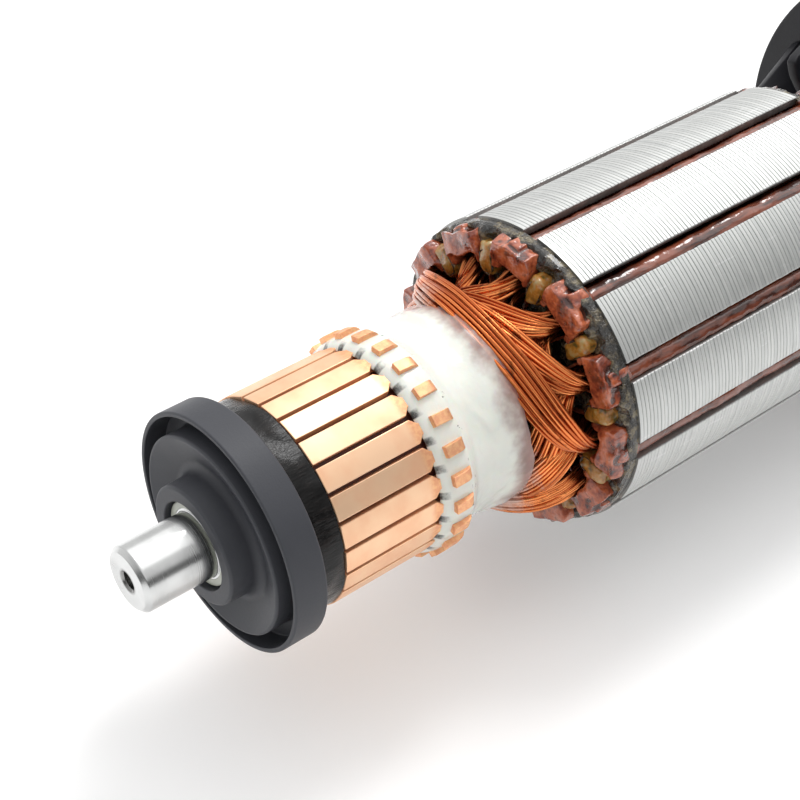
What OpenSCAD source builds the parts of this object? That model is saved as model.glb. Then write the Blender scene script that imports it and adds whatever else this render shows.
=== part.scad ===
// Armature of a universal motor: shaft, commutator, wound core, fan and dust ring.
// The axis runs along +X, from the commutator end to the drive end.
// The origin is the middle of the commutator-end bearing journal.

/* [Shaft] */
// Diameter of the commutator-end bearing journal
journal_d = 7; // [6:0.1:8]
// Length of the commutator-end journal, without its chamfer
journal_len = 7.4; // [6:0.2:12]
// Diameter of the shaft under the insulating sleeve
body_d = 7.6; // [7.5:0.1:8]
// Diameter of the drive-end bearing journal
drive_d = 7; // [6.6:0.1:7.2]
// Length of the drive-end bearing journal
drive_len = 9; // [6:0.5:14]
// Diameter of the pinion seat at the drive end
seat_d = 6.4; // [4:0.1:6.4]
// Length of the pinion seat
seat_len = 9; // [4:0.5:16]
// Chamfer on both ends of the shaft
end_chamfer = 0.5; // [0.2:0.1:0.8]
// Diameter of the centre hole in each end of the shaft
centre_hole_d = 2.3; // [1:0.1:3]
// Depth of each centre hole
centre_hole_depth = 3.2; // [1.5:0.1:5]
// Wall of the insulating sleeve on the shaft
sleeve_wall = 0.7; // [0.5:0.05:0.8]

/* [Dust ring] */
// Outer diameter of the ring's rim
rim_d = 25.7; // [25:0.1:28]
// Length of the rim along the axis
rim_len = 3.8; // [3:0.1:5]
// Thickness of the rim's lip
lip_t = 0.53; // [0.4:0.05:0.8]
// Diameter of the raised disc inside the groove
disc_d = 21.3; // [20:0.1:22]
// Depth of the groove between the disc and the lip
groove_depth = 2.6; // [1.5:0.1:2.8]
// How far the disc stands in front of the lip
disc_proud = 0.7; // [0.2:0.1:1.2]
// Diameter of the hub at its front face
hub_d = 12.7; // [12:0.1:14]
// How far the hub stands in front of the disc's edge
hub_proud = 2; // [1:0.1:3]
// How far the disc's face is dished behind its edge
dish = 1.8; // [0.5:0.1:2]

/* [Commutator] */
// Diameter of the brush track
track_d = 22.72; // [22:0.1:24]
// Length of the brush track
track_len = 11.2; // [8:0.2:14]
// Width of the undercut slot between two bars
bar_gap = 0.56; // [0.4:0.02:0.8]
// Depth of the undercut below the track
undercut = 0.9; // [0.5:0.1:1.4]
// Radial depth of a bar
bar_depth = 2.7; // [2.2:0.1:3]
// Length of the bar behind the track, up to the back of its hook
tail_len = 4.3; // [3.8:0.1:5]
// Turn of the commutator against the core, in degrees
bar_phase = 13.9; // [0:0.1:15]
// Width of a hook
hook_w = 1.2; // [1:0.05:1.5]
// Thickness of a hook
hook_t = 0.65; // [0.5:0.05:0.8]
// Radius of a hook's outer face
hook_r = 12.5; // [12.3:0.1:13]
// Length of a hook along the axis
hook_len = 3; // [2.4:0.1:3.2]
// Room for the wires inside a hook
hook_gap = 0.9; // [0.6:0.05:1.1]
// Length of the resin band in front of the bars
band_len = 3.3; // [2.5:0.1:4]
// Outer diameter of the resin band
band_d = 22.4; // [21.6:0.1:22.6]

/* [Core] */
// Outer diameter of the lamination stack
core_d = 35; // [34:0.1:36]
// Length of the lamination stack
core_len = 41.8; // [30:0.5:55]
// Distance from the front of the bars to the core
core_gap = 32.9; // [32:0.1:36]
// Width of a tooth between two slots
tooth_w = 2.8; // [2.6:0.1:3.2]
// Radius of the slot's floor
floor_r = 8.6; // [8.4:0.1:9]
// Thickness of the tooth tips over the slots
tip_t = 1.1; // [0.9:0.05:1.3]
// Width of the slot's mouth
mouth_w = 2.03; // [1.6:0.05:2.4]
// Thickness of the end plates
plate_t = 0.8; // [0.5:0.1:1.2]
// Wall of the slot liners
liner_t = 0.25; // [0.15:0.05:0.3]
// How far the liners stand out of the core
liner_out = 1.3; // [1:0.1:1.4]
// How far the wedges stand out of the core
wedge_out = 2.9; // [2.2:0.1:3]
// Thickness of the wedges under the tooth tips
wedge_t = 0.9; // [0.7:0.05:1]
// Width of the fingers that stand on the end plates
finger_w = 1.9; // [1.4:0.1:2.2]
// How far the fingers stand out of the core
finger_out = 2.7; // [2:0.1:2.9]

/* [Winding] */
// Width of a coil where it crosses the end of the core
coil_width = 3.9; // [3:0.1:4]
// Thickness of a coil where it crosses the end of the core
coil_t = 0.95; // [0.8:0.05:1]
// Distance from the core to where the coils start to turn over
turn_gap = 3; // [3:0.1:3.4]
// How far the outermost coil reaches beyond that, at the shaft
head_len = 7.5; // [7.2:0.1:8.5]
// Outer radius of the outermost coil's shell
head_r = 14.4; // [14.2:0.1:14.8]
// Radius of the tube that holds the winding off the shaft
tube_r = 5.5; // [5.2:0.1:5.6]

/* [Lead wrap] */
// Outer radius of the white wrap behind the hooks
wrap_r = 10.9; // [10.6:0.1:11.2]
// Outer radius of the white wrap at the winding
wrap_back_r = 11.4; // [11.2:0.1:11.8]

/* [Fan] */
// Outer diameter of the fan's back plate
fan_d = 49; // [46:0.5:54]
// Diameter over the blades, where they meet the back plate
blade_d = 43; // [40:0.5:46]
// Distance from the core to the fan's front edge
fan_gap = 12.6; // [12:0.1:15]
// Length of the fan along the axis
fan_len = 11.8; // [10:0.2:14]
// Number of blades
blade_count = 14; // [9:1:18]
// Thickness of a blade
blade_t = 1.4; // [1:0.1:1.8]
// Thickness of the fan's back plate
back_t = 1.8; // [1.2:0.1:2.5]
// Diameter of the fan's hub
fan_hub_d = 17; // [14:0.5:20]
// Diameter of the spacer behind the fan
spacer_d = 11.5; // [10.5:0.5:13]
// Length of the spacer behind the fan
spacer_len = 3; // [2:0.5:5]

/* [Hidden] */
// The winding scheme is drawn for 24 bars, 12 slots and coils that span 5 slots
bar_count = 24;
coil_pitch = 5;
slot_count = bar_count / 2;
slot_step = 360 / slot_count;
bar_step = 360 / bar_count;
half_slot = slot_step / 2;
half_bar = bar_step / 2;
level_count = slot_count / 2;

function numbered(word, count) = [for (k = [1:count]) str(word, k < 10 ? "_0" : "_", k)];

BARS = numbered("bar", bar_count);
WEDGES = numbered("wedge", slot_count);
COILS = numbered("coil", slot_count);

fine = 96;
tiny = 0.01;
fit = 0.05;

// Small lengths that several nodes share
hub_mouth_len = 0.6;
moulding_short = 0.8;
plate_step = 0.3;
anchor_depth = 1.1;
anchor_w = 0.9;
neck_start = 1;
neck_len = 1.4;
tube_lip = 1.2;
hub_clear = 0.5;
shell_clear = 1.1;

// Stations along the axis
tip_x = -journal_len / 2 - end_chamfer;
shoulder_x = journal_len / 2;
hub_mouth_x = shoulder_x - hub_mouth_len;
disc_x = hub_mouth_x + hub_proud;
rim_x = disc_x + disc_proud;
band_x = rim_x + rim_len;
bars_x = band_x + band_len;
track_end_x = bars_x + track_len;
bars_end_x = track_end_x + tail_len;
moulding_end_x = bars_end_x - moulding_short;
core_x = bars_x + core_gap;
core_end_x = core_x + core_len;
turn_x = core_x - turn_gap;
tube_out = turn_gap + head_len + tube_lip;
fan_x = core_end_x + fan_gap;
fan_hub_x = max(fan_x, core_end_x + tube_out) + hub_clear;
fan_end_x = fan_x + fan_len;
spacer_end_x = fan_end_x + spacer_len;
drive_end_x = spacer_end_x + drive_len;
seat_end_x = drive_end_x + seat_len;

// Radii
sleeve_r = body_d / 2 + sleeve_wall;
core_r = core_d / 2;
plate_r = core_r - plate_step;
track_r = track_d / 2;
rib_r = track_r - undercut;
bar_floor_r = track_r - bar_depth;
anchor_r = bar_floor_r - anchor_depth;
tip_r = core_r - tip_t;
wedge_floor_r = tip_r - wedge_t;
slot_mid_r = (floor_r + wedge_floor_r) / 2 + 0.2;

// The coils lie on nested shells, each a quarter ellipse turned about the axis
shell_r = tube_r + shell_clear;
shell_step_r = (head_r - shell_r) / (level_count + 0.55);
shell_step_x = head_len / (level_count + 0.8);
cross_phi = 55;

// A section drawn as [radius, sideways] is extruded from x = 0 along the axis
module along(length) {
    rotate([90, 0, 90])
        linear_extrude(length)
            children();
}

// A turned solid: its profile points are [distance along the axis, radius]
module turned(profile) {
    rotate([0, 90, 0])
        rotate_extrude($fn = fine)
            polygon([for (p = profile) [p[1], p[0]]]);
}

// A round bar along the axis
module rod(x, r, length) {
    translate([x, 0, 0])
        rotate([0, 90, 0])
            cylinder(r = r, h = length, $fn = fine);
}

// Turns what points along +Y to an angle about the axis
module at_angle(deg) {
    rotate([deg, 0, 0])
        children();
}

// Copies a front-end part to the other end of the core
module at_rear() {
    translate([core_x + core_end_x, 0, 0])
        mirror([1, 0, 0])
            children();
}

// ---------------------------------------------------------------- shaft

module centre_hole() {
    cone_len = centre_hole_d / 2;
    rotate([0, 90, 0]) {
        translate([0, 0, -1])
            cylinder(d = centre_hole_d, h = centre_hole_depth - cone_len + 1, $fn = fine);
        translate([0, 0, centre_hole_depth - cone_len - tiny])
            cylinder(d1 = centre_hole_d, d2 = 0.2, h = cone_len, $fn = fine);
    }
}

module shaft() {
    c = end_chamfer;
    color("silver")
        difference() {
            turned([
                [tip_x, 0], [tip_x, journal_d / 2 - c], [tip_x + c, journal_d / 2],
                [shoulder_x, journal_d / 2], [shoulder_x, body_d / 2],
                [spacer_end_x, body_d / 2], [spacer_end_x, drive_d / 2],
                [drive_end_x, drive_d / 2], [drive_end_x, seat_d / 2],
                [seat_end_x - c, seat_d / 2], [seat_end_x, seat_d / 2 - c], [seat_end_x, 0]
            ]);
            translate([tip_x, 0, 0])
                centre_hole();
            translate([seat_end_x, 0, 0])
                mirror([1, 0, 0])
                    centre_hole();
        }
}

module shaft_sleeve() {
    color("ivory")
        turned([
            [shoulder_x, body_d / 2], [shoulder_x, sleeve_r],
            [fan_hub_x, sleeve_r], [fan_hub_x, body_d / 2]
        ]);
}

// ---------------------------------------------------------------- dust ring

module dust_ring() {
    mouth_r = sleeve_r + 0.22;
    seat_x = shoulder_x + 1.6;
    web_x = rim_x + groove_depth;
    edge = 0.25;
    color("dimgray")
        turned([
            [hub_mouth_x, mouth_r], [hub_mouth_x, hub_d / 2 - edge], [hub_mouth_x + edge, hub_d / 2],
            [disc_x + dish, hub_d / 2 + 0.3], [disc_x, disc_d / 2 - edge],
            [disc_x + edge, disc_d / 2], [web_x, disc_d / 2], [web_x, rim_d / 2 - lip_t],
            [rim_x, rim_d / 2 - lip_t], [rim_x, rim_d / 2 - edge], [rim_x + edge, rim_d / 2],
            [band_x - edge, rim_d / 2], [band_x, rim_d / 2 - edge],
            [band_x, sleeve_r], [seat_x, sleeve_r], [seat_x, mouth_r]
        ]);
}

// ---------------------------------------------------------------- commutator

module front_band() {
    edge = 0.35;
    color("black")
        turned([
            [band_x, sleeve_r], [band_x, band_d / 2 - edge], [band_x + edge, band_d / 2],
            [bars_x, band_d / 2], [bars_x, sleeve_r]
        ]);
}

// Half the width of a bar at a radius, so that the slots between bars keep one width
function bar_half(r) = r * tan(half_bar) - bar_gap / 2 / cos(half_bar);

module bar_section() {
    low = bar_half(bar_floor_r);
    high = bar_half(track_r);
    polygon([
        [anchor_r, -anchor_w / 2], [bar_floor_r, -anchor_w / 2], [bar_floor_r, -low],
        [track_r, -high], [track_r + 1, -high], [track_r + 1, high], [track_r, high],
        [bar_floor_r, low], [bar_floor_r, anchor_w / 2], [anchor_r, anchor_w / 2]
    ]);
}

// Outline of a bar seen from outside: wide track, cut corners, narrow neck
module bar_outline(front_x, neck_x) {
    wide = bar_half(track_r) + tiny;
    cut = wide - hook_w / 2;
    polygon([
        [front_x, -wide], [track_end_x, -wide], [track_end_x + cut, -hook_w / 2], [neck_x, -hook_w / 2],
        [neck_x, hook_w / 2], [track_end_x + cut, hook_w / 2], [track_end_x, wide], [front_x, wide]
    ]);
}

// Side view of a hook: the tail under it, the bend, and the leg that points back to the front
module hook_profile() {
    bend_r = hook_gap / 2 + hook_t;
    bend_x = bars_end_x - bend_r;
    middle_r = hook_r - bend_r;
    neck_x = track_end_x + neck_start;
    difference() {
        union() {
            translate([bend_x, middle_r])
                circle(r = bend_r, $fn = 48);
            translate([bars_end_x - hook_len, hook_r - hook_t])
                square([hook_len - bend_r, hook_t]);
            translate([neck_x, bar_floor_r])
                square([bend_x - neck_x, middle_r - hook_gap / 2 - bar_floor_r]);
        }
        translate([bend_x, middle_r])
            circle(r = hook_gap / 2, $fn = 48);
        translate([bend_x - hook_len, middle_r - hook_gap / 2])
            square([hook_len, hook_gap]);
    }
}

// One bar, with its track starting at front_x
module bar_solid(k, front_x) {
    neck_x = track_end_x + neck_len;
    at_angle(bar_phase + bar_step * k) {
        intersection() {
            translate([front_x, 0, 0])
                along(neck_x - front_x)
                    bar_section();
            rotate([90, 0, 0])
                linear_extrude(3 * track_r, center = true)
                    bar_outline(front_x, neck_x);
            rod(front_x - 1, track_r, neck_x - front_x + 2);
        }
        linear_extrude(hook_w, center = true)
            hook_profile();
    }
}

module bar(k) {
    color("peachpuff")
        bar_solid(k, bars_x);
}

module commutator_moulding() {
    color("saddlebrown")
        difference() {
            rod(bars_x, rib_r, moulding_end_x - bars_x);
            rod(bars_x - 1, sleeve_r, moulding_end_x - bars_x + 2);
            for (k = [0:bar_count - 1])
                bar_solid(k, bars_x - 1);
        }
}

// ---------------------------------------------------------------- lead wrap

shell_gap = coil_t / 2 + 0.1;

function shell_profile(level, offset, phi) = [
    turn_x - (head_len - level * shell_step_x + offset) * sin(phi),
    shell_r + (head_r - shell_r - level * shell_step_r + offset) * cos(phi)
];

module lead_wrap() {
    rim_phi = acos((wrap_back_r - 0.25 - shell_r) / (head_r - shell_r + shell_gap));
    white_x = track_end_x + 1.2;
    hook_bed_r = hook_r - hook_t - 0.1;
    mouth = [for (i = [0:8]) shell_profile(0, shell_gap, rim_phi + (90 - rim_phi) * i / 8)];
    color("whitesmoke")
        difference() {
            turned(concat(
                [
                    [white_x, rib_r], [white_x, track_r - 0.2], [white_x + 0.7, hook_bed_r],
                    [bars_end_x + 0.1, hook_bed_r], [bars_end_x + 0.8, wrap_r],
                    [mouth[0][0] - 0.3, wrap_back_r]
                ],
                mouth,
                [
                    [mouth[8][0], tube_r], [core_x - tube_out, tube_r], [core_x - tube_out, sleeve_r],
                    [moulding_end_x, sleeve_r], [moulding_end_x, rib_r]
                ]
            ));
            for (k = [0:bar_count - 1])
                bar_solid(k, bars_x);
        }
}

// ---------------------------------------------------------------- core

// Half the width of a slot at a radius; the teeth between the slots keep one width
function slot_half(r, inset) = r * tan(half_slot) - (tooth_w / 2 + inset) / cos(half_slot);

module slot_outline(inset, top_r) {
    low_r = floor_r + inset;
    corner = 0.45;
    polygon([
        [low_r, -slot_half(low_r, inset) + corner / 2], [low_r + corner / 2, -slot_half(low_r, inset)],
        [top_r - corner, -slot_half(top_r, inset)], [top_r, -slot_half(top_r, inset) + corner],
        [top_r, slot_half(top_r, inset) - corner], [top_r - corner, slot_half(top_r, inset)],
        [low_r + corner / 2, slot_half(low_r, inset)], [low_r, slot_half(low_r, inset) - corner / 2]
    ]);
}

module slot_cut(start_x, length) {
    for (k = [0:slot_count - 1])
        at_angle(slot_step * k)
            translate([start_x, 0, 0])
                along(length)
                    union() {
                        slot_outline(0, tip_r);
                        translate([tip_r - 0.2, -mouth_w / 2])
                            square([tip_t + 1.2, mouth_w]);
                    }
}

module core() {
    color("lightgray")
        difference() {
            rod(core_x, core_r, core_len);
            rod(core_x - 1, sleeve_r, core_len + 2);
            slot_cut(core_x - 1, core_len + 2);
        }
}

module front_insulator() {
    finger_low_r = 12.3;
    finger_high_r = 15.1;
    color("darkgoldenrod")
        union() {
            difference() {
                rod(core_x - plate_t, plate_r, plate_t);
                rod(core_x - plate_t - 1, sleeve_r, plate_t + 2);
                slot_cut(core_x - plate_t - 1, plate_t + 2);
            }
            difference() {
                rod(core_x - tube_out, tube_r, tube_out);
                rod(core_x - tube_out - 1, sleeve_r, tube_out + 2);
            }
            for (k = [0:slot_count - 1])
                at_angle(half_slot + slot_step * k)
                    translate([core_x - finger_out, 0, 0])
                        along(finger_out - plate_t + tiny) {
                            translate([finger_low_r + finger_w / 2, 0])
                                circle(d = finger_w, $fn = 32);
                            translate([finger_high_r - finger_w / 2, 0])
                                circle(d = finger_w, $fn = 32);
                            translate([finger_low_r + finger_w / 2, -finger_w / 2])
                                square([finger_high_r - finger_low_r - finger_w, finger_w]);
                        }
        }
}

module rear_insulator() {
    at_rear()
        front_insulator();
}

module slot_liners() {
    color("sienna")
        for (k = [0:slot_count - 1])
            at_angle(slot_step * k)
                translate([core_x - liner_out, 0, 0])
                    along(core_len + 2 * liner_out)
                        intersection() {
                            difference() {
                                slot_outline(0, tip_r);
                                slot_outline(liner_t, tip_r + 1);
                            }
                            translate([0, -core_r])
                                square([wedge_floor_r, 2 * core_r]);
                        }
}

// Slot wedge: a strip under the tooth tips, a crown in the slot's mouth and a turned-down end
module wedge(k) {
    foot_w = 2 * slot_half(wedge_floor_r, 0) - 2 * fit;
    crown_w = mouth_w - 0.4;
    crown_shift = 0.12;
    flange_t = 0.34;
    flange_h = 1.1;
    flange_len = wedge_out - liner_out - fit;
    color("indianred")
        at_angle(slot_step * k)
            union() {
                translate([core_x - wedge_out, wedge_floor_r, -foot_w / 2])
                    cube([core_len + 2 * wedge_out, wedge_t - 0.4, foot_w]);
                translate([core_x - wedge_out, wedge_floor_r, -foot_w / 2 + 0.5])
                    cube([core_len + 2 * wedge_out, wedge_t, foot_w - 1]);
                translate([core_x - plate_t, wedge_floor_r, -crown_w / 2 + crown_shift])
                    cube([core_len + 2 * plate_t, wedge_t + tip_t - 0.4, crown_w]);
                for (end_x = [core_x - wedge_out, core_end_x + wedge_out - flange_len])
                    for (side = [-foot_w / 2, foot_w / 2 - flange_t])
                        translate([end_x, wedge_floor_r - flange_h, side])
                            cube([flange_len, flange_h + tiny, flange_t]);
            }
}

// ---------------------------------------------------------------- coils

function turned_point(p, deg) = [p[0], p[1] * cos(deg), p[1] * sin(deg)];

// Section of a coil on its shell: three points outside, three inside
function shell_section(level, deg, phi, turn, rise) =
    let(
        middle = shell_profile(level, 0, phi),
        a = head_len - level * shell_step_x,
        b = head_r - shell_r - level * shell_step_r,
        slope = sqrt(pow(a * cos(phi), 2) + pow(b * sin(phi), 2)),
        step_deg = coil_width / 2 * rise / middle[1] * 180 / PI,
        step_phi = -coil_width / 2 * turn / slope * 180 / PI
    )
    [for (c = [[-1, 1], [0, 1], [1, 1], [1, -1], [0, -1], [-1, -1]])
        turned_point(
            shell_profile(level, c[1] * coil_t / 2, min(94, max(0, phi + c[0] * step_phi))),
            deg + c[0] * step_deg
        )];

// The arch of a coil over the end of the core, from the slot at deg_a to the slot at deg_b
function arch(level, deg_a, deg_b, steps) =
    let(
        half = (deg_b - deg_a) / 2,
        way = half > 0 ? 1 : -1,
        rise_power = 1.2
    )
    [for (i = [0:steps])
        let(
            t = 180 * i / steps,
            s = max(0.0001, sin(t)),
            phi = cross_phi * pow(s, rise_power),
            deg = deg_a + half - half * cos(t),
            flat = abs(half) * sin(t) * shell_profile(level, 0, phi)[1],
            steep = cross_phi * rise_power * pow(s, rise_power - 1) * cos(t)
                * (head_len - level * shell_step_x),
            size = sqrt(flat * flat + steep * steep),
            turn = flat / size,
            rise = way * steep / size
        )
        shell_section(level, deg, phi, turn, i == 0 ? way : (i == steps ? -way : rise))];

// Section of a coil in its slot: a trapezoid in the upper or the lower half of the slot
function slot_section(x, deg, upper, way) =
    let(
        low = upper ? slot_mid_r + 0.1 : floor_r + liner_t + 0.3,
        high = upper ? wedge_floor_r - 0.15 : slot_mid_r - 0.1,
        low_half = way * (slot_half(low, liner_t) - 0.1),
        high_half = way * (slot_half(high, liner_t) - 0.1)
    )
    [for (c = [[high, -high_half], [high, 0], [high, high_half], [low, low_half], [low, 0], [low, -low_half]])
        let(
            y = c[0] * cos(deg) - c[1] * sin(deg),
            z = c[0] * sin(deg) + c[1] * cos(deg)
        )
        [x, y, z]];

function at_rear_end(sections) = [for (s = sections) [for (p = s) [core_x + core_end_x - p[0], p[1], p[2]]]];

// A closed loop of sections becomes one solid
module loop_solid(sections) {
    n = len(sections);
    m = len(sections[0]);
    polyhedron(
        points = [for (s = sections) each s],
        faces = [for (i = [0:n - 1])
            for (j = [0:m - 1])
                for (half = [0, 1])
                    let(
                        a = i * m + j,
                        b = i * m + (j + 1) % m,
                        c = ((i + 1) % n) * m + (j + 1) % m,
                        d = ((i + 1) % n) * m + j
                    )
                    half == 0 ? [a, b, c] : [a, c, d]]
    );
}

// Coils are laid in pairs, the first pair deepest; level 0 is the pair that was laid last
module coil(k) {
    level = floor(k / 2);
    deg_a = slot_step * (1 - level) + 180 * (k % 2);
    deg_b = deg_a + slot_step * coil_pitch;
    upper_a = level == 0;
    upper_b = level != level_count - 1;
    steps = 14;
    mouth_x = core_x - liner_out;
    rear_x = core_end_x + liner_out;
    color("chocolate")
        loop_solid(concat(
            [slot_section(mouth_x, deg_a, upper_a, 1)],
            arch(level, deg_a, deg_b, steps),
            [slot_section(mouth_x, deg_b, upper_b, -1), slot_section(rear_x, deg_b, upper_b, -1)],
            at_rear_end(arch(level, deg_b, deg_a, steps)),
            [slot_section(rear_x, deg_a, upper_a, 1)]
        ));
}

// ---------------------------------------------------------------- fan

module blade_zone() {
    out_r = blade_d / 2;
    eye_r = out_r * 0.75;
    eye_land = 2;
    back_x = fan_end_x - back_t + tiny;
    turned([
        [back_x, fan_hub_d / 2 - 0.5], [fan_hub_x + 0.6, fan_hub_d / 2 - 0.5], [fan_hub_x + 0.6, eye_r - 4],
        [fan_x, eye_r], [fan_x, eye_r + eye_land], [fan_x + fan_len * 0.6, out_r - 1], [back_x, out_r]
    ]);
}

// Blades are arcs that lean back from the hub to the rim
module blade_plan() {
    curve_r = fan_d * 0.42;
    for (k = [0:blade_count - 1])
        rotate(360 / blade_count * k)
            translate([fan_d * 0.23, fan_d * 0.36])
                intersection() {
                    difference() {
                        circle(r = curve_r + blade_t / 2, $fn = fine);
                        circle(r = curve_r - blade_t / 2, $fn = fine);
                    }
                    translate([-curve_r * 0.7, -curve_r * 1.2])
                        square([curve_r * 1.3, curve_r]);
                }
}

module fan() {
    color("dimgray")
        difference() {
            union() {
                rod(fan_hub_x, fan_hub_d / 2, fan_end_x - fan_hub_x);
                rod(fan_end_x - back_t, fan_d / 2, back_t);
                intersection() {
                    blade_zone();
                    translate([fan_x - 1, 0, 0])
                        along(fan_len + 2)
                            blade_plan();
                }
            }
            rod(fan_x - 1, body_d / 2, fan_len + 2);
        }
}

module fan_spacer() {
    edge = 0.4;
    color("gray")
        turned([
            [fan_end_x, body_d / 2], [fan_end_x, spacer_d / 2], [spacer_end_x - edge, spacer_d / 2],
            [spacer_end_x, spacer_d / 2 - edge], [spacer_end_x, body_d / 2]
        ]);
}

shaft();
shaft_sleeve();
dust_ring();
front_band();
commutator_moulding();
for (k = [0:bar_count - 1])
    bar(k);
lead_wrap();
front_insulator();
core();
slot_liners();
for (k = [0:slot_count - 1])
    wedge(k);
for (k = [0:slot_count - 1])
    coil(k);
rear_insulator();
fan();
fan_spacer();
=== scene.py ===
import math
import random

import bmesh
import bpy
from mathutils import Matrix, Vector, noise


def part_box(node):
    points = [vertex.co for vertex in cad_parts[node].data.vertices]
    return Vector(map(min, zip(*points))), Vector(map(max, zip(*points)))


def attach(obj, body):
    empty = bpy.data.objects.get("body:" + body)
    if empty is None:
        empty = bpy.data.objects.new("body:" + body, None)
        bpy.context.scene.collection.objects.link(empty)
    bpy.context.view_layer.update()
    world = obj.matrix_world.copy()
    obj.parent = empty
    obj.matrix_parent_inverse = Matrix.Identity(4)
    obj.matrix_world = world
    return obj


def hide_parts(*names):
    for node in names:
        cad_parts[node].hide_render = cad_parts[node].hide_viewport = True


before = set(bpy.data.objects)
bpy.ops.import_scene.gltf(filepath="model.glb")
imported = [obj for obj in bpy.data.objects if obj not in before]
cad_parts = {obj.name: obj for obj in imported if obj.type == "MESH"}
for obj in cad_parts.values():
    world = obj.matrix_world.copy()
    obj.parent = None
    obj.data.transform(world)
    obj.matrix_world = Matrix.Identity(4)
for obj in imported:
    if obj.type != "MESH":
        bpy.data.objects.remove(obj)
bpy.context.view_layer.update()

# %% [markdown]
# # The armature of a universal motor
# An armature is the wound rotor of a brush motor: a shaft with a commutator, a slotted core of
# thin steel sheets, coils of enamelled wire in its slots, and a fan. The axis of this one runs
# along X, and everything on it is either turned about that axis or repeated round it. So most
# cells below make one copy with bmesh operators and turn it, and lengths are read from the
# frame, so that each piece sits where the construction says.

MM = 0.001
AXIS = Vector((1, 0, 0))
print("frame nodes:", len(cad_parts))

# %% Read the main sizes from the frame, in millimetres


def span(node):
    """Where a node starts and ends along the axis, and its outer radius."""
    low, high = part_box(node)
    return low[0] / MM, high[0] / MM, max(high[1], high[2], -low[1], -low[2]) / MM


TIP_X, SHAFT_END_X, BODY_R = span("shaft")
SLEEVE_X, SLEEVE_END_X, SLEEVE_R = span("shaft_sleeve")
RING_X, BAND_X, RIM_R = span("dust_ring")
BARS_X, BARS_END_X, HOOK_R = *span("bar_01")[:2], 12.5
CORE_X, CORE_END_X, CORE_R = span("core")
FAN_X, FAN_END_X, FAN_R = span("fan")
print(f"core from {CORE_X:.1f} to {CORE_END_X:.1f} mm, radius {CORE_R:.2f} mm")

# %% [markdown]
# ## Shader maths as expressions
# A procedural finish is a small calculation done at every point of a surface. The class below
# wraps one socket, so that `grain * 0.3 + 0.5` adds the Math nodes by itself. Every other node
# comes from its `node` method, which sets the node's own settings before its sockets.

# %% A socket with operators


class Value:
    """One value in a shader, which can be added, multiplied and linked."""

    def __init__(self, tree, socket):
        self.tree = tree
        self.socket = socket

    def node(self, kind, settings=None, sockets=None, out=0):
        made = self.tree.nodes.new("ShaderNode" + kind)
        for key, setting in (settings or {}).items():
            if key == "stops":
                ramp = made.color_ramp
                for place, colour in setting:
                    stop = ramp.elements.new(place)
                    stop.color = (*colour, 1)
                ramp.elements.remove(ramp.elements[0])
                ramp.elements.remove(ramp.elements[-1])
            else:
                setattr(made, key, setting)
        for key, value in (sockets or {}).items():
            if isinstance(value, Value):
                self.tree.links.new(value.socket, made.inputs[key])
            else:
                made.inputs[key].default_value = value
        return Value(self.tree, made.outputs[out])

    def maths(self, operation, other, swap=False):
        first, second = (other, self) if swap else (self, other)
        return self.node("Math", {"operation": operation}, {0: first, 1: second})

    def __add__(self, other):
        return self.maths("ADD", other)

    def __sub__(self, other):
        return self.maths("SUBTRACT", other)

    def __rsub__(self, other):
        return self.maths("SUBTRACT", other, swap=True)

    def __mul__(self, other):
        return self.maths("MULTIPLY", other)

    __radd__ = __add__
    __rmul__ = __mul__

    def between(self, low, high):
        """0 below low, 1 above high, and a smooth step from one to the other."""
        return self.node("MapRange", {"interpolation_type": "SMOOTHSTEP"},
                         {"Value": self, "From Min": low, "From Max": high})

    def noise(self, size_mm, detail=2.0, rough=0.5, stretch=(1, 1, 1)):
        """Soft noise of about this size; stretch lengthens it along an axis."""
        squeeze = [1 / s for s in stretch]
        place = self.node("Mapping", {}, {"Vector": self, "Scale": squeeze})
        return place.node("TexNoise", {}, {"Vector": place, "Scale": 1 / (size_mm * MM),
                                           "Detail": detail, "Roughness": rough})

    def rings(self, scale, detail):
        """Noise that changes with this value alone, such as lines left by a lathe."""
        return self.node("TexNoise", {"noise_dimensions": "1D"},
                         {"W": self, "Scale": scale, "Detail": detail})

    def attribute(self, name):
        """A number that the mesh itself carries on its points."""
        return self.node("Attribute", {"attribute_name": name}, out=2)

    def ramp(self, *stops):
        return self.node("ValToRGB", {"stops": stops}, {"Fac": self})

    def bump(self, height_mm):
        """A Bump node: this value, times height_mm, raises the surface."""
        return self.node("Bump", {}, {"Height": self, "Distance": height_mm * MM, "Strength": 1.0})


def mixed(mask, low, high):
    """The colour low where mask is 0, and high where it is 1."""
    low, high = [c if isinstance(c, Value) else (*c, 1) for c in (low, high)]
    return mask.node("Mix", {"data_type": "RGBA"}, {0: mask, 6: low, 7: high}, out=2)


# %% A finish is a named material with its constants set


class Finish:
    """A Principled material; place is its Object coordinate."""

    def __init__(self, name, **constants):
        self.material = bpy.data.materials.new(name)
        self.material.use_nodes = True
        self.tree = self.material.node_tree
        self.shader = self.tree.nodes["Principled BSDF"]
        for key, value in constants.items():
            self.shader.inputs[key.replace("_", " ")].default_value = value
        coordinates = self.tree.nodes.new("ShaderNodeTexCoord")
        self.place = Value(self.tree, coordinates.outputs["Object"])

    def set(self, socket, value):
        self.tree.links.new(value.socket, self.shader.inputs[socket])

    def look(self, colour, roughness, normal):
        """Links the three values that nearly every finish calculates."""
        for socket, value in (("Base Color", colour), ("Roughness", roughness), ("Normal", normal)):
            self.set(socket, value)

    def axis_parts(self):
        """Distance along the axis in mm, radius in mm, and angle in radians."""
        x, y, z = [self.place.node("SeparateXYZ", {}, {0: self.place}, out=i) for i in range(3)]
        radius = (y * y + z * z).maths("POWER", 0.5)
        return x * (1 / MM), radius * (1 / MM), z.maths("ARCTAN2", y)


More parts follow.
